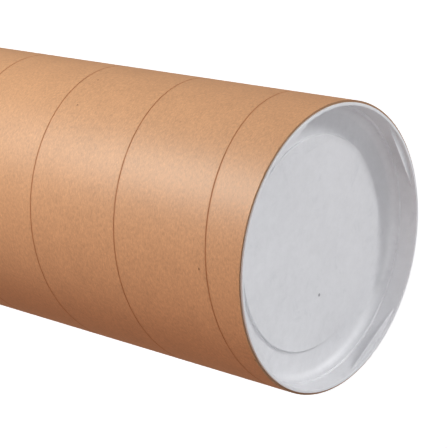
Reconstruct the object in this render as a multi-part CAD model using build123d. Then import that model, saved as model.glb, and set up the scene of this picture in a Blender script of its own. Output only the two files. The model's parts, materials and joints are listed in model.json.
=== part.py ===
from build123d import *
import math
import os

# A spiral-wound paperboard mailing tube that stands on its end, with a recessed push-in plug in each end.
# Units are millimetres. The tube's axis is +Z and the origin is the middle of the lower plug's flange, on the
# floor.

# Tube: one wound wall. The butt joint of the outermost ply strip leaves a helical groove in its outside.
bore_diameter = 304.8
tube_wall = 3.8
tube_length = 914.4
ply_width = 124.0  # of the outer ply strip, across the strip
seam_gap = 0.8  # between the strip's edges, across the seam
seam_depth = 0.35
seam_azimuth = 49.2  # where the seam runs out of the upper end, in degrees from +X

# Plug: one moulding of even thickness. Its skirt pushes into the tube until its flange meets the tube's end.
plug_wall = 1.8
skirt_clearance = 0.05  # radial, between the skirt and the bore at the mouth
skirt_draft = 0.6  # how much narrower in radius the skirt is at the ledge than at the mouth
flange_overlap = 1.5  # how far the flange laps onto the tube's end, in radius
flange_thickness = 2.0
ledge_depth = 19.2  # below the tube's end
ledge_width = 2.5
shaft_height = 2.4  # straight wall between the ledge and the bowl
bowl_radius = 8.0  # where the wall below the ledge turns into the moat
moat_width = 22.35  # flat floor between the bowl and the panel's foot
panel_rise = 2.6  # above the moat
panel_draft = 0.4
edge_round = 0.7
panel_round = 1.0

# Webs: flat chord-shaped ledges in the mouth, to pull the plug out by.
web_count = 4
web_azimuth = 52.4
web_reach = 7.6  # from the lip's inner side to the middle of the chord
web_drop = 1.7  # below the tube's end
web_thickness = 2.0
web_corner_round = 0.6

bore_radius = bore_diameter / 2
tube_radius = bore_radius + tube_wall
tube_foot = flange_thickness
tube_top = tube_foot + tube_length

# The winding angle's sine is the width of strip and gap over the tube's circumference, so that each turn of
# the strip lies beside the last.
winding_width = ply_width + seam_gap
winding_angle = math.asin(winding_width / (2 * math.pi * tube_radius))
seam_pitch = winding_width / math.cos(winding_angle)
seam_run_out = seam_pitch / 4

skirt_radius = bore_radius - skirt_clearance
lip_radius = skirt_radius - plug_wall
ledge_outer_radius = lip_radius - skirt_draft
shaft_radius = ledge_outer_radius - ledge_width
moat_depth = ledge_depth + shaft_height + bowl_radius
panel_radius = shaft_radius - bowl_radius - moat_width - panel_draft
panel_depth = moat_depth - panel_rise


def seam_cutter():
    """A ribbon along the outer ply's butt joint, which starts at +X below the tube and ends above it."""
    with BuildPart() as ribbon:
        with BuildLine() as joint:
            Helix(pitch=seam_pitch, height=tube_length + 2 * seam_run_out, radius=tube_radius)
        with BuildSketch(Plane(joint.line @ 0, x_dir=(1, 0, 0), z_dir=joint.line % 0)):
            Rectangle(2 * seam_depth, seam_gap)
        sweep(is_frenet=True)
    return ribbon.part.translate((0, 0, -seam_run_out))


def make_tube():
    """The wound wall with the seam cut into its outside, turned to bring the seam's end to its azimuth."""
    upright = (Align.CENTER, Align.CENTER, Align.MIN)
    wall = Cylinder(tube_radius, tube_length, align=upright)
    wall -= Cylinder(bore_radius, tube_length, align=upright)
    turns = (seam_run_out + tube_length) / seam_pitch
    wound = wall - seam_cutter()
    return wound.rotate(Axis.Z, seam_azimuth - 360 * turns).translate((0, 0, tube_foot))


def plug_profile():
    """Half of the plug's section, as (radius, height above the tube's end, corner radius) once round it."""
    seen = [
        (0, -panel_depth, 0),
        (panel_radius, -panel_depth, panel_round),
        (panel_radius + panel_draft, -moat_depth, panel_round),
        (shaft_radius, -moat_depth, bowl_radius),
        (shaft_radius, -ledge_depth, edge_round),
        (ledge_outer_radius, -ledge_depth, edge_round),
        (lip_radius, flange_thickness, edge_round),
        (bore_radius + flange_overlap, flange_thickness, edge_round),
        (bore_radius + flange_overlap, 0, 0),
    ]
    hidden = [
        (skirt_radius, 0, 0),
        (skirt_radius - skirt_draft, -ledge_depth - plug_wall, edge_round),
        (shaft_radius + plug_wall, -ledge_depth - plug_wall, 0),
        (shaft_radius + plug_wall, -moat_depth - plug_wall, bowl_radius + plug_wall),
        (panel_radius + panel_draft, -moat_depth - plug_wall, 0),
        (panel_radius - plug_wall, -panel_depth - plug_wall, panel_round),
        (0, -panel_depth - plug_wall, 0),
    ]
    return seen + hidden


def make_web(azimuth):
    """One web: the piece of a disc in the mouth that a chord cuts off, with its rim let into the skirt."""
    rim = lip_radius + plug_wall / 2
    chord = lip_radius - web_reach
    with BuildPart() as web:
        with BuildSketch(Plane.XY.offset(-web_drop)):
            Circle(rim)
            with Locations((chord, 0)):
                Rectangle(2 * rim, 4 * rim, align=(Align.MAX, Align.CENTER), mode=Mode.SUBTRACT)
        extrude(amount=-web_thickness)
        chord_edges = web.faces().sort_by(Axis.X)[0].edges().filter_by(Axis.Y)
        fillet(chord_edges, web_corner_round)
    return web.part.rotate(Axis.Z, azimuth)


def make_plug():
    """The plug, with the tube's end at height 0 and its recess opening upwards."""
    corners = plug_profile()
    with BuildPart() as plug:
        with BuildSketch(Plane.XZ):
            with BuildLine():
                FilletPolyline(
                    *[(radius, height) for radius, height, _ in corners],
                    radius=[corner for _, _, corner in corners],
                    close=True,
                )
            make_face()
        revolve(axis=Axis.Z)
        for index in range(web_count):
            add(make_web(web_azimuth + index * 360 / web_count))
    return plug.part


def write(shape, node):
    """Write one node's STEP file and print its size."""
    shape.label = node
    export_step(shape, f"parts/{node}.step")
    size = shape.bounding_box().size
    print(node, "solids", len(shape.solids()), "volume", round(shape.volume), "size", size)


os.makedirs("parts", exist_ok=True)
plug = make_plug()
write(make_tube(), "tube")
write(plug.translate((0, 0, tube_top)), "top_plug")
write(plug.rotate(Axis.X, 180).translate((0, 0, tube_foot)), "bottom_plug")
print("seam pitch", round(seam_pitch, 2), "winding angle", round(math.degrees(winding_angle), 2))
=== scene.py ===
"""Looks of a spiral-wound kraft mailing tube that stands on its end, with a recessed plug in each end.

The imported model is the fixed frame. The wound wall is made here as a surface with its ply seam, its cut
ends and its bore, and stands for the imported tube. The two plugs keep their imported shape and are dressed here.
Every length is in metres, and the tube's axis is +Z.
"""

from __future__ import annotations

import json
import logging
import math
from dataclasses import dataclass
from enum import Enum
from typing import Mapping, Sequence, Union

import bmesh
import bpy
import numpy as np
from mathutils import Matrix, Vector

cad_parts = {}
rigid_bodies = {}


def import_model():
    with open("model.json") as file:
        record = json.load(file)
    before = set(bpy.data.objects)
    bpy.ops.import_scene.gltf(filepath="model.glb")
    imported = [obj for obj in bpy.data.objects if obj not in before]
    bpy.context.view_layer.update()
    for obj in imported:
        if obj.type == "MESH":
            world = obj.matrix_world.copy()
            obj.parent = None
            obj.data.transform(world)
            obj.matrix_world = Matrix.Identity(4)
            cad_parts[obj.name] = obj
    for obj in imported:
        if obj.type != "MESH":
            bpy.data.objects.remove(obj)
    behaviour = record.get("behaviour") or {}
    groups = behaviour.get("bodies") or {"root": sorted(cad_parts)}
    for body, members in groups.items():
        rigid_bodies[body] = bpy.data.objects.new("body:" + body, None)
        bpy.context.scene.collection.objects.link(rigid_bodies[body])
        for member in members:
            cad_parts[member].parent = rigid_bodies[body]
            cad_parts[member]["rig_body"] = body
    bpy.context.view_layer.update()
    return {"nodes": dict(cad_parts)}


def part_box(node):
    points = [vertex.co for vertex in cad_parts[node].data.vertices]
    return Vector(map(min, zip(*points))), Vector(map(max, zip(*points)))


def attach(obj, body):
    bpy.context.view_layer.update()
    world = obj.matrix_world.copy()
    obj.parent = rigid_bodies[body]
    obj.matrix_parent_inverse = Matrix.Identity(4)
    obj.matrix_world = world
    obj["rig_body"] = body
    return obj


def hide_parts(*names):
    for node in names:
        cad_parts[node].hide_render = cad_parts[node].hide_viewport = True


log = logging.getLogger("mailing_tube")

MM = 0.001
FULL_TURN = 2 * math.pi

Colour = tuple[float, float, float]
Input = Union["Value", bpy.types.NodeSocket, float, Sequence[float]]


class Value:
    """A number that varies over a surface: one float socket, on which arithmetic adds Math nodes."""

    def __init__(self, graph: "Graph", socket: bpy.types.NodeSocket) -> None:
        """Wraps a socket.

        Args:
            graph: The shader that the socket belongs to.
            socket: An output socket that carries one float.
        """
        self.graph = graph
        self.socket = socket

    def __add__(self, other: Input) -> "Value":
        """The sum."""
        return self.graph.math("ADD", self, other)

    def __radd__(self, other: Input) -> "Value":
        """The sum, with the number first."""
        return self.graph.math("ADD", other, self)

    def __sub__(self, other: Input) -> "Value":
        """The difference."""
        return self.graph.math("SUBTRACT", self, other)

    def __rsub__(self, other: Input) -> "Value":
        """The difference, with the number first."""
        return self.graph.math("SUBTRACT", other, self)

    def __mul__(self, other: Input) -> "Value":
        """The product."""
        return self.graph.math("MULTIPLY", self, other)

    def __rmul__(self, other: Input) -> "Value":
        """The product, with the number first."""
        return self.graph.math("MULTIPLY", other, self)

    def __truediv__(self, other: Input) -> "Value":
        """The quotient."""
        return self.graph.math("DIVIDE", self, other)

    def floor(self) -> "Value":
        """The whole number at or below it."""
        return self.graph.math("FLOOR", self)

    def fraction(self) -> "Value":
        """What is left above the whole number below it."""
        return self.graph.math("FRACT", self)

    def size(self) -> "Value":
        """Its size without its sign."""
        return self.graph.math("ABSOLUTE", self)

    def step(self, low: float, high: float) -> "Value":
        """A smooth step over it.

        Args:
            low: Where the step starts, at 0.
            high: Where the step ends, at 1.

        Returns:
            The step, from 0 to 1.
        """
        ramp = self.graph.node(
            "ShaderNodeMapRange",
            {"interpolation_type": "SMOOTHSTEP"},
            {"Value": self, "From Min": low, "From Max": high},
        )
        return Value(self.graph, ramp.outputs["Result"])


class Graph:
    """The node tree of one material, or of the sky."""

    def __init__(self, holder: Union[bpy.types.Material, bpy.types.World]) -> None:
        """Empties the tree.

        Args:
            holder: The material or sky that the tree belongs to.
        """
        holder.use_nodes = True
        self.holder = holder
        self.tree = holder.node_tree
        self.tree.nodes.clear()

    def node(
        self,
        kind: str,
        settings: Mapping[str, object] | None = None,
        inputs: Mapping[Union[str, int], Input] | None = None,
    ) -> bpy.types.Node:
        """Adds a node, sets it up, then fills its sockets.

        Args:
            kind: The node's type.
            settings: Its attributes, set before its sockets.
            inputs: What goes into its sockets, by name or index: a number, a colour or a link.

        Returns:
            The node.
        """
        made = self.tree.nodes.new(kind)
        for name, setting in (settings or {}).items():
            setattr(made, name, setting)
        for name, value in (inputs or {}).items():
            if isinstance(name, int):
                socket = made.inputs[name]
            else:
                socket = next(s for s in made.inputs if s.name == name and s.enabled)
            if isinstance(value, Value):
                self.tree.links.new(value.socket, socket)
            elif isinstance(value, bpy.types.NodeSocket):
                self.tree.links.new(value, socket)
            else:
                socket.default_value = value
        return made

    def math(self, operation: str, *terms: Input) -> Value:
        """Adds a Math node.

        Args:
            operation: What it does.
            terms: Its numbers, in order.

        Returns:
            The result.
        """
        made = self.node("ShaderNodeMath", {"operation": operation}, dict(enumerate(terms)))
        return Value(self, made.outputs["Value"])

    def place(self) -> bpy.types.NodeSocket:
        """The point on the piece, in metres."""
        return self.node("ShaderNodeTexCoord").outputs["Object"]

    def parts(self, vector: bpy.types.NodeSocket) -> tuple[Value, Value, Value]:
        """The three numbers of a vector."""
        split = self.node("ShaderNodeSeparateXYZ", None, {"Vector": vector})
        x, y, z = (Value(self, socket) for socket in split.outputs)
        return x, y, z

    def vector(self, x: Input, y: Input, z: Input) -> bpy.types.NodeSocket:
        """A vector of three numbers."""
        return self.node("ShaderNodeCombineXYZ", None, {"X": x, "Y": y, "Z": z}).outputs["Vector"]

    def noise(
        self,
        where: bpy.types.NodeSocket,
        scale: float,
        detail: float = 2.0,
        roughness: float = 0.5,
        distortion: float = 0.0,
    ) -> Value:
        """Fractal noise about 0.5.

        Args:
            where: The point that it is read at.
            scale: Blobs per unit.
            detail: Octaves.
            roughness: How strong each finer octave is.
            distortion: How far the pattern is pulled about.

        Returns:
            The noise, about 0 to 1.
        """
        made = self.node(
            "ShaderNodeTexNoise",
            {"noise_dimensions": "3D"},
            {
                "Vector": where,
                "Scale": scale,
                "Detail": detail,
                "Roughness": roughness,
                "Distortion": distortion,
            },
        )
        return Value(self, made.outputs[0])

    def specks(
        self, where: bpy.types.NodeSocket, scale: float, radius: float, share: float, span: str = "3D"
    ) -> Value:
        """Round specks: the middles of some cells of a Voronoi pattern.

        Args:
            where: The point that it is read at.
            scale: Cells per unit.
            radius: A speck's radius as a share of a cell.
            share: The share of cells that hold one.
            span: "2D" where the point's first two numbers say where it is on the surface.

        Returns:
            1 in a speck, 0 elsewhere.
        """
        cells = self.node(
            "ShaderNodeTexVoronoi",
            {"voronoi_dimensions": span, "feature": "F1"},
            {"Vector": where, "Scale": scale},
        )
        pick, _, _ = self.parts(cells.outputs["Color"])
        chosen = pick.step(1 - share, 1 - share * 0.8)
        near = 1 - Value(self, cells.outputs["Distance"]).step(radius * 0.5, radius)
        return chosen * near

    def mix(self, share: Input, first: Input, second: Input, blend: str = "MIX") -> bpy.types.NodeSocket:
        """Mixes two colours.

        Args:
            share: How much of the second one shows.
            first: The colour underneath.
            second: The colour on top.
            blend: How they mix.

        Returns:
            The mixed colour.
        """
        made = self.node(
            "ShaderNodeMix",
            {"data_type": "RGBA", "blend_type": blend},
            {"Factor": share, "A": first, "B": second},
        )
        return next(s for s in made.outputs if s.name == "Result" and s.enabled)

    def shade(self, colour: Input, amount: Value) -> bpy.types.NodeSocket:
        """Scales a colour by a number that varies over the surface."""
        grey = self.vector(amount, amount, amount)
        return self.mix(1.0, colour, grey, "MULTIPLY")

    def bump(self, height: Value, distance: float, strength: float = 1.0) -> bpy.types.NodeSocket:
        """The normal of a bumpy surface.

        Args:
            height: The bump's height, 0 to 1.
            distance: What a height of 1 stands for.
            strength: How much of it shows.

        Returns:
            The normal.
        """
        inputs = {"Strength": strength, "Distance": distance, "Height": height}
        return self.node("ShaderNodeBump", None, inputs).outputs["Normal"]

    def finish(self, **sockets: Input) -> bpy.types.Material:
        """Ends the tree with a Principled shader.

        Args:
            sockets: The shader's sockets, named in lower case with underscores.

        Returns:
            The material.
        """
        inputs = {name.replace("_", " ").title(): value for name, value in sockets.items()}
        shader = self.node("ShaderNodeBsdfPrincipled", None, inputs)
        self.node("ShaderNodeOutputMaterial", None, {"Surface": shader.outputs["BSDF"]})
        return self.holder


def opaque(colour: Colour) -> tuple[float, float, float, float]:
    """A colour with full alpha."""
    return (*colour, 1.0)


@dataclass(frozen=True)
class Winding:
    """How the outermost ply strip runs round the tube.

    Its butt seam is where (z - end_z) / pitch - (azimuth - end_azimuth) / turn is a whole number.
    """

    radius: float
    end_z: float
    end_azimuth: float = math.radians(49.2)
    strip_width: float = 124.0 * MM
    seam_gap: float = 0.8 * MM
    seam_depth: float = 0.35 * MM

    @property
    def angle(self) -> float:
        """The angle between the strip and a hoop: its sine is strip and gap over the circumference."""
        return math.asin((self.strip_width + self.seam_gap) / (FULL_TURN * self.radius))

    @property
    def pitch(self) -> float:
        """How far the seam climbs in one turn."""
        return (self.strip_width + self.seam_gap) / math.cos(self.angle)


class Face(Enum):
    """The faces of the wound wall, by material slot."""

    OUTSIDE = 0
    CUT_END = 1
    BORE = 2


@dataclass(frozen=True)
class KraftLiner:
    """Natural brown kraft paper: cloudy, with fibres along the strip, bark specks and a faint sheen."""

    name: str
    colour: Colour = (0.475, 0.252, 0.135)
    seam_colour: Colour = (0.295, 0.100, 0.026)
    lint_colour: Colour = (0.66, 0.50, 0.34)
    speck_colour: Colour = (0.13, 0.055, 0.025)
    cloud: float = 0.15
    mottle: float = 0.62
    grain: float = 0.76
    lint: float = 0.18
    specks: float = 0.75
    roughness: float = 0.50
    fibre_squeeze: float = 0.42  # under 1 draws the pattern out along the strip
    flock_squeeze: float = 0.85
    turn_shift: float = 0.37  # how far the pattern jumps from one turn of the strip to the next
    bump_height: float = 0.10 * MM

    def build(self, winding: Winding) -> bpy.types.Material:
        """Builds the paper on strip coordinates: along the strip, across it, and a jump at each seam.

        Args:
            winding: How the strip runs, which sets the direction of the fibres.

        Returns:
            The material.
        """
        g = Graph(bpy.data.materials.new(self.name))
        x, y, z = g.parts(g.place())
        azimuth = g.math("ARCTAN2", y, x)
        turns = (z - winding.end_z) / winding.pitch - (azimuth - winding.end_azimuth) / FULL_TURN
        turn = turns.floor()
        across = turns.fraction() * (winding.strip_width + winding.seam_gap)
        along = (azimuth + turn * FULL_TURN) * winding.radius
        strip = g.vector(along, across, turn * self.turn_shift)
        fibre = g.vector(along * self.fibre_squeeze, across, turn * self.turn_shift)
        flock = g.vector(along * self.flock_squeeze, across, turn * self.turn_shift)

        cloud = g.noise(strip, scale=26, detail=3, roughness=0.55) - 0.5
        mottle = g.noise(flock, scale=290, detail=3, roughness=0.7) - 0.5
        grain = g.noise(fibre, scale=700, detail=4, roughness=0.65, distortion=0.4) - 0.5
        lint = g.noise(fibre, scale=2200, detail=2, roughness=0.5).step(0.64, 0.74)
        small_specks = g.specks(strip, scale=95, radius=0.055, share=0.06, span="2D")
        large_specks = g.specks(flock, scale=24, radius=0.036, share=0.08, span="2D")
        specks = small_specks * 0.5 + large_specks

        tone = 1 + cloud * self.cloud + mottle * self.mottle + grain * self.grain
        paper = g.shade(opaque(self.colour), tone)
        paper = g.mix(lint * self.lint, paper, opaque(self.lint_colour))
        paper = g.mix(specks * self.specks, paper, opaque(self.speck_colour))
        seam = Value(g, g.node("ShaderNodeAttribute", {"attribute_name": "seam"}).outputs["Fac"])
        paper = g.mix(seam, paper, opaque(self.seam_colour))

        wave = g.noise(strip, scale=55, detail=2, roughness=0.5)
        height = grain * 0.5 + mottle * 0.7 + wave * 0.9
        rough = self.roughness + mottle * 0.12 + grain * 0.15 + seam * 0.3
        normal = g.bump(height, self.bump_height, strength=0.8)
        return g.finish(base_color=paper, roughness=rough, normal=normal)


@dataclass(frozen=True)
class CutBoard:
    """The sawn end of the wound wall: dull layered board, with a glue line between plies."""

    name: str = "cut_board"
    colour: Colour = (0.34, 0.19, 0.10)
    glue_colour: Colour = (0.22, 0.11, 0.055)
    ply: float = 0.42 * MM
    glue: float = 0.8
    bump_height: float = 0.2 * MM

    def build(self) -> bpy.types.Material:
        """Builds the board on the distance from the tube's axis, so that its plies are rings.

        Returns:
            The material.
        """
        g = Graph(bpy.data.materials.new(self.name))
        place = g.place()
        x, y, _ = g.parts(place)
        radius = g.math("SQRT", x * x + y * y)
        fuzz = g.noise(place, scale=1400, detail=3, roughness=0.6) - 0.5
        ring = ((radius / self.ply + fuzz * 0.5).fraction() - 0.5).size()
        glue_line = ring.step(0.34, 0.5) * self.glue
        colour = g.mix(glue_line, opaque(self.colour), opaque(self.glue_colour))
        colour = g.shade(colour, 1 + fuzz * 0.5)
        normal = g.bump(fuzz - ring * 0.4, self.bump_height)
        return g.finish(base_color=colour, roughness=0.9, normal=normal)


@dataclass(frozen=True)
class PlugPlastic:
    """Moulded white plastic: satin, faintly clouded, with handling scuffs and a few specks of dirt."""

    name: str = "white_plastic"
    colour: Colour = (0.755, 0.758, 0.775)
    scuff_colour: Colour = (0.50, 0.515, 0.54)
    dirt_colour: Colour = (0.10, 0.10, 0.11)
    cloud: float = 0.13
    haze: float = 0.14
    fine: float = 0.06
    scuff: float = 0.16
    dirt: float = 0.7
    roughness: float = 0.44
    bump_height: float = 0.12 * MM

    def build(self) -> bpy.types.Material:
        """Builds the plastic.

        Returns:
            The material.
        """
        g = Graph(bpy.data.materials.new(self.name))
        place = g.place()
        cloud = g.noise(place, scale=14, detail=3, roughness=0.55, distortion=0.5) - 0.5
        haze = g.noise(place, scale=90, detail=4, roughness=0.65) - 0.5
        fine = g.noise(place, scale=330, detail=3, roughness=0.6) - 0.5
        scuff = g.noise(place, scale=38, detail=4, roughness=0.62, distortion=0.8).step(0.56, 0.72)
        dirt = g.specks(place, scale=36, radius=0.10, share=0.22)
        tone = 1 + cloud * self.cloud + haze * self.haze + fine * self.fine
        colour = g.shade(opaque(self.colour), tone)
        colour = g.mix(scuff * self.scuff, colour, opaque(self.scuff_colour))
        colour = g.mix(dirt * self.dirt, colour, opaque(self.dirt_colour))
        ripple = g.noise(place, scale=420, detail=3, roughness=0.5)
        rough = self.roughness + scuff * 0.12 + haze * 0.16
        normal = g.bump(ripple * 0.4 + cloud * 1.6, self.bump_height, strength=0.7)
        return g.finish(base_color=colour, roughness=rough, normal=normal)


@dataclass(frozen=True)
class PaleFloor:
    """Plain pale studio floor, with a little light of its own, as a lit sweep has."""

    name: str = "pale_floor"
    colour: Colour = (0.90, 0.90, 0.90)
    glow: float = 0.52

    def build(self) -> bpy.types.Material:
        """Builds the floor's one even finish.

        Returns:
            The material.
        """
        white = opaque((1.0, 1.0, 1.0))
        g = Graph(bpy.data.materials.new(self.name))
        return g.finish(
            base_color=opaque(self.colour), roughness=0.9, emission_color=white, emission_strength=self.glow
        )


@dataclass(frozen=True)
class Backdrop:
    """Plain pale backdrop, as bright as the far floor."""

    name: str = "pale_backdrop"
    glow: float = 0.74

    def build(self) -> bpy.types.Material:
        """Builds the backdrop, which only glows.

        Returns:
            The material.
        """
        black, white = opaque((0.0, 0.0, 0.0)), opaque((1.0, 1.0, 1.0))
        g = Graph(bpy.data.materials.new(self.name))
        return g.finish(base_color=black, roughness=1.0, emission_color=white, emission_strength=self.glow)


@dataclass(frozen=True)
class StudioSky:
    """Even light from all round: pale above, and warmer below, where it stands for the floor's bounce."""

    name: str = "studio_sky"
    above: Colour = (0.230, 0.230, 0.245)
    below: Colour = (0.34, 0.23, 0.16)
    horizon: float = 0.15

    def build(self) -> bpy.types.World:
        """Builds the sky, which turns from one colour to the other over the horizon.

        Returns:
            The sky.
        """
        g = Graph(bpy.data.worlds.new(self.name))
        _, _, height = g.parts(g.node("ShaderNodeTexCoord").outputs["Generated"])
        colour = g.mix(height.step(-self.horizon, self.horizon), opaque(self.below), opaque(self.above))
        light = g.node("ShaderNodeBackground", None, {"Color": colour})
        g.node("ShaderNodeOutputWorld", None, {"Surface": light.outputs["Background"]})
        return g.holder


def grid_faces(rows: int, columns: int) -> np.ndarray:
    """The quads of a grid of rows by columns points, numbered row by row, each turned the same way."""
    corner = np.arange(rows - 1)[:, None] * columns + np.arange(columns - 1)[None, :]
    quads = np.stack([corner, corner + 1, corner + columns + 1, corner + columns], axis=-1)
    return quads.reshape(-1, 4)


def make_piece(name: str, points: np.ndarray, faces: np.ndarray) -> bpy.types.Object:
    """Makes a mesh object at the origin.

    Args:
        name: The piece's name.
        points: Its points, one a row.
        faces: Its faces as point numbers, one a row.

    Returns:
        The object, linked to the scene.
    """
    mesh = bpy.data.meshes.new(name)
    mesh.from_pydata(points.tolist(), [], faces.tolist())
    piece = bpy.data.objects.new(name, mesh)
    bpy.context.scene.collection.objects.link(piece)
    return piece


@dataclass
class WoundWall:
    """The tube: a wall wound from ply strips, with the outermost strip's seam as a groove."""

    bore_radius: float
    low_z: float
    winding: Winding
    columns: int = 240
    lip_lift: float = 0.06 * MM
    lip_reach: float = 1.6 * MM
    stain: float = 0.55
    stain_reach: float = 0.8 * MM
    edge_round: float = 0.10 * MM
    edge_rows: int = 5
    flank_mm: Sequence[float] = (0.25, 0.6, 1.1, 2.0, 4.0, 8.0, 16.0, 30.0, 46.0)
    bore_rows: int = 24
    overrun: float = 5 * MM

    def strip_rows(self) -> np.ndarray:
        """Distances across one strip from the middle of its seam, close together at the seam's edges."""
        half_gap = self.winding.seam_gap / 2
        edge = half_gap + np.linspace(-self.edge_round, self.edge_round, self.edge_rows)
        flank = half_gap + np.array(self.flank_mm) * MM
        one_side = np.concatenate([[0.0], edge, flank])
        width = self.winding.strip_width + self.winding.seam_gap
        return np.concatenate([one_side, [width / 2], width - one_side[:0:-1]])

    def seam_profile(self, across: np.ndarray) -> tuple[np.ndarray, np.ndarray]:
        """The wall's height about its radius, and how deep in the seam a point lies.

        The strip's edge lifts by an exponential of the distance to it, and drops by the ply's thickness in a
        smooth step as it turns over into the gap.

        Args:
            across: Distances from the middle of the nearest seam.

        Returns:
            The height above the plain radius, and how dark the seam is there, from 0 to 1: full in the gap,
            and fading by an exponential over the glue stain beside it.
        """
        half_gap = self.winding.seam_gap / 2
        past_edge = across - half_gap
        share = np.clip((self.edge_round - past_edge) / (2 * self.edge_round), 0, 1)
        sunk = share * share * (3 - 2 * share)
        beside = np.clip(past_edge, 0, None)
        lift = self.lip_lift * np.exp(-beside / self.lip_reach)
        stain = self.stain * np.exp(-beside / self.stain_reach)
        return lift * (1 - sunk) - self.winding.seam_depth * sunk, np.maximum(sunk, stain)

    def outside(self) -> tuple[np.ndarray, np.ndarray, np.ndarray]:
        """The outside as a helical ribbon that overruns both ends.

        A row keeps its distance across the strip and climbs one pitch per turn, so its last column is the
        first column of the row one strip further up:
        z = end + pitch (strips + across / width + azimuth / turn).

        Returns:
            Points, faces and how dark the seam is at each point.
        """
        w = self.winding
        across = self.strip_rows()[:-1]
        width = w.strip_width + w.seam_gap
        strips = int((w.end_z - self.low_z) / w.pitch) + 3
        rows = np.concatenate([across + k * width for k in range(-strips, 2)])
        height, sunk = self.seam_profile(np.minimum(rows % width, width - rows % width))
        azimuth = np.linspace(0, FULL_TURN, self.columns + 1)
        radius = (w.radius + height)[:, None] * np.ones_like(azimuth)
        z = w.end_z + (rows / width)[:, None] * w.pitch + (azimuth / FULL_TURN)[None, :] * w.pitch
        turned = azimuth[None, :] + w.end_azimuth
        points = np.stack([radius * np.cos(turned), radius * np.sin(turned), z], axis=-1)
        seam = np.broadcast_to(sunk[:, None], z.shape)
        return points.reshape(-1, 3), grid_faces(*z.shape), seam.reshape(-1)

    def bore(self) -> tuple[np.ndarray, np.ndarray]:
        """The bore as a plain cylinder that overruns both ends: one circle per row, facing the axis.

        Returns:
            Points and faces.
        """
        azimuth = np.linspace(0, FULL_TURN, self.columns + 1) + self.winding.end_azimuth
        low, high = self.low_z - self.overrun, self.winding.end_z + self.overrun
        z = np.linspace(low, high, self.bore_rows)[:, None]
        ones = np.ones_like(z)
        x, y = self.bore_radius * np.cos(azimuth) * ones, self.bore_radius * np.sin(azimuth) * ones
        points = np.stack([x, y, z * np.ones_like(x)], axis=-1)
        return points.reshape(-1, 3), grid_faces(*x.shape)[:, ::-1]

    def build(self) -> bpy.types.Object:
        """Joins outside and bore, cuts both ends square and closes them with rings.

        Returns:
            The wall, with one material slot for each kind of face.
        """
        outside, outside_faces, seam = self.outside()
        bore, bore_faces = self.bore()
        points = np.concatenate([outside, bore])
        faces = np.concatenate([outside_faces, bore_faces + len(outside)])
        piece = make_piece("wound_wall", points, faces)
        shade = piece.data.attributes.new("seam", "FLOAT", "POINT")
        shade.data.foreach_set("value", np.concatenate([seam, np.zeros(len(bore))]).astype(np.float32))
        slots = np.full(len(faces), Face.OUTSIDE.value, np.int32)
        slots[len(outside_faces):] = Face.BORE.value
        piece.data.polygons.foreach_set("material_index", slots)
        self.close_ends(piece.data)
        return piece

    def close_ends(self, mesh: bpy.types.Mesh) -> None:
        """Merges the wrap, cuts the mesh at both end planes and bridges each cut with a ring of board.

        Args:
            mesh: The mesh to trim.
        """
        work = bmesh.new()
        work.from_mesh(mesh)
        bmesh.ops.remove_doubles(work, verts=work.verts, dist=0.002 * MM)
        for z, outward in ((self.winding.end_z, 1.0), (self.low_z, -1.0)):
            bmesh.ops.bisect_plane(
                work,
                geom=work.verts[:] + work.edges[:] + work.faces[:],
                dist=0.001 * MM,
                plane_co=(0, 0, z),
                plane_no=(0, 0, outward),
                clear_outer=True,
            )
            rims = {e for e in work.edges if e.is_boundary and abs(e.verts[0].co.z - z) < 0.01 * MM}
            ring = bmesh.ops.bridge_loops(work, edges=list(rims))["faces"]
            for face in ring:
                face.material_index = Face.CUT_END.value
                for edge in face.edges:
                    edge.smooth = edge not in rims
                face.normal_update()
                if face.normal.z * outward < 0:
                    face.normal_flip()
        for face in work.faces:
            face.smooth = face.material_index != Face.CUT_END.value
        work.to_mesh(mesh)
        work.free()
        mesh.update()


@dataclass
class Tube:
    """The wound tube, made anew with its seam and dressed in kraft."""

    node: bpy.types.Object

    def measure(self) -> WoundWall:
        """Reads the wall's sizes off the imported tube: the ends from its box, the radii from its points."""
        low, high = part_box(self.node.name)
        flat = np.empty(len(self.node.data.vertices) * 3, np.float32)
        self.node.data.vertices.foreach_get("co", flat)
        radii = np.hypot(flat[0::3], flat[1::3])
        winding = Winding(radius=float(radii.max()), end_z=high.z)
        return WoundWall(bore_radius=float(radii.min()), low_z=low.z, winding=winding)

    def build(self) -> bpy.types.Object:
        """Makes the wall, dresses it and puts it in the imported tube's place.

        Returns:
            The wall.
        """
        wall = self.measure()
        piece = wall.build()
        liner = KraftLiner("kraft_liner")
        inner = KraftLiner("kraft_bore", colour=(0.42, 0.245, 0.130), roughness=0.62)
        piece.data.materials.append(liner.build(wall.winding))
        piece.data.materials.append(CutBoard().build())
        piece.data.materials.append(inner.build(wall.winding))
        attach(piece, self.node["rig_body"])
        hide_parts(self.node.name)
        log.info("wound wall: %d faces, pitch %.1f mm", len(piece.data.polygons), wall.winding.pitch / MM)
        return piece


@dataclass
class Plugs:
    """The two recessed plugs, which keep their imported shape."""

    nodes: Sequence[bpy.types.Object]

    def dress(self) -> None:
        """Gives both plugs the same moulded finish."""
        plastic = PlugPlastic().build()
        for node in self.nodes:
            for material_slot in node.material_slots:
                material_slot.material = plastic
            log.info("%s: %d faces", node.name, len(node.data.polygons))


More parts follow.
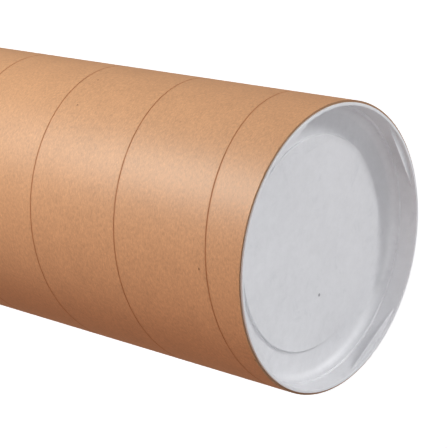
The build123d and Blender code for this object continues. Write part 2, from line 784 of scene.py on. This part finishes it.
@dataclass(frozen=True)
class SoftBox:
    """A square studio light that faces a point."""

    name: str
    aim: Vector
    azimuth: float
    elevation: float
    distance: float
    side: float
    power: float
    colour: Colour

    def build(self) -> bpy.types.Object:
        """Sets the light up: from the aim, its distance out along azimuth and elevation, in degrees.

        Returns:
            The light.
        """
        around, up = math.radians(self.azimuth), math.radians(self.elevation)
        away = Vector((math.cos(around) * math.cos(up), math.sin(around) * math.cos(up), math.sin(up)))
        data = bpy.data.lights.new(self.name, "AREA")
        data.shape = "SQUARE"
        data.size = self.side
        data.energy = self.power
        data.color = self.colour
        lamp = bpy.data.objects.new(self.name, data)
        lamp.location = self.aim + away * self.distance
        lamp.rotation_mode = "QUATERNION"
        lamp.rotation_quaternion = away.to_track_quat("Z", "Y")
        lamp.visible_camera = False
        bpy.context.scene.collection.objects.link(lamp)
        return lamp


@dataclass
class Studio:
    """Floor, light and camera round the standing tube."""

    tube_radius: float
    tube_end: Vector
    reach: float = 30.0
    columns: int = 65
    rows: int = 25
    aim_below_end: float = 0.972  # in tube radii, like the camera's distance
    camera_distance: float = 10.97
    camera_down: float = 38.66  # in degrees, like its roll
    camera_roll: float = 102.6
    lens: float = 124.6  # in millimetres, like the sensor
    sensor: float = 36.0
    clip_end: float = 100.0

    def stage(self, name: str, profile: np.ndarray, material: bpy.types.Material) -> None:
        """Makes one surface of the studio, which the sky shines through, by turning a profile about the axis.

        Args:
            name: The surface's name.
            profile: Its radius and height, one point a row.
            material: Its finish.
        """
        around = np.linspace(0, FULL_TURN, self.columns)[None, :]
        radius, height = profile[:, :1], profile[:, 1:]
        points = np.stack([radius * np.cos(around), radius * np.sin(around), height + 0 * around], axis=-1)
        surface = make_piece(name, points.reshape(-1, 3), grid_faces(*points.shape[:2])[:, ::-1])
        surface.data.materials.append(material)
        surface.visible_diffuse = surface.visible_glossy = surface.visible_shadow = False

    def surroundings(self) -> None:
        """A flat floor under the tube, and over it a dome that starts a little below the floor's edge."""
        rings = self.reach * np.linspace(0.0001, 1, self.rows) ** 2
        self.stage("floor", np.stack([rings, 0 * rings], axis=-1), PaleFloor().build())
        rise = np.linspace(-0.05, math.pi / 2 - 0.001, self.rows)
        dome = 0.98 * self.reach * np.stack([np.cos(rise), np.sin(rise)], axis=-1)
        self.stage("backdrop", dome, Backdrop().build())

    def lights(self) -> None:
        """A key beside the mouth, soft fills round the tube, a warm bounce, a low sheen panel and the sky."""
        white, warm, cool = (1.0, 1.0, 1.0), (1.0, 0.36, 0.10), (0.93, 1.0, 0.95)
        lamps = (  # name, azimuth and elevation in degrees, distance and side in metres, watts, colour
            ("key", 155, 37, 2.4, 0.55, 25.5, white),
            ("side", -150, 30, 2.4, 2.0, 8.5, white),
            ("front", -90, 50, 2.4, 1.5, 16.0, white),
            ("bounce", -30, -8, 2.2, 1.8, 10.0, warm),
            ("back", 62, 22, 2.4, 2.0, 9.0, white),
            ("sheen", -116, -33, 1.4, 0.5, 15.5, cool),
        )
        for name, *settings in lamps:
            SoftBox(name, self.tube_end, *settings).build()
        bpy.context.scene.world = StudioSky().build()

    def exposure(self) -> None:
        """Plain display colours, so that white plastic and pale floor aren't greyed."""
        bpy.context.scene.view_settings.view_transform = "Standard"

    def camera(self) -> None:
        """A long lens above the mouth, aimed at the axis below it and rolled to lay the tube across."""
        aim = self.tube_end - Vector((0, 0, self.aim_below_end * self.tube_radius))
        down, roll = math.radians(self.camera_down), math.radians(self.camera_roll)
        distance = self.camera_distance * self.tube_radius
        data = bpy.data.cameras.new("camera")
        data.sensor_width = self.sensor
        data.lens = self.lens
        data.clip_end = self.clip_end
        camera = bpy.data.objects.new("camera", data)
        turn = Matrix.Rotation(math.pi / 2 - down, 4, "X") @ Matrix.Rotation(roll, 4, "Z")
        place = aim + Vector((0, -math.cos(down), math.sin(down))) * distance
        camera.matrix_world = Matrix.Translation(place) @ turn
        bpy.context.scene.collection.objects.link(camera)
        bpy.context.scene.camera = camera

    def build(self) -> None:
        """Builds floor, lights and camera."""
        self.surroundings()
        self.lights()
        self.exposure()
        self.camera()
        log.info("studio: floor, lights and camera")


def main() -> None:
    """Builds the tube, its plugs and the studio."""
    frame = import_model()
    nodes = frame["nodes"]
    Tube(nodes["tube"]).build()
    Plugs([nodes["top_plug"], nodes["bottom_plug"]]).dress()
    low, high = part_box("tube")
    Studio(tube_radius=(high.x - low.x) / 2, tube_end=Vector((0, 0, high.z))).build()


if __name__ == "__main__":
    logging.basicConfig(level=logging.INFO, format="%(message)s")
    main()
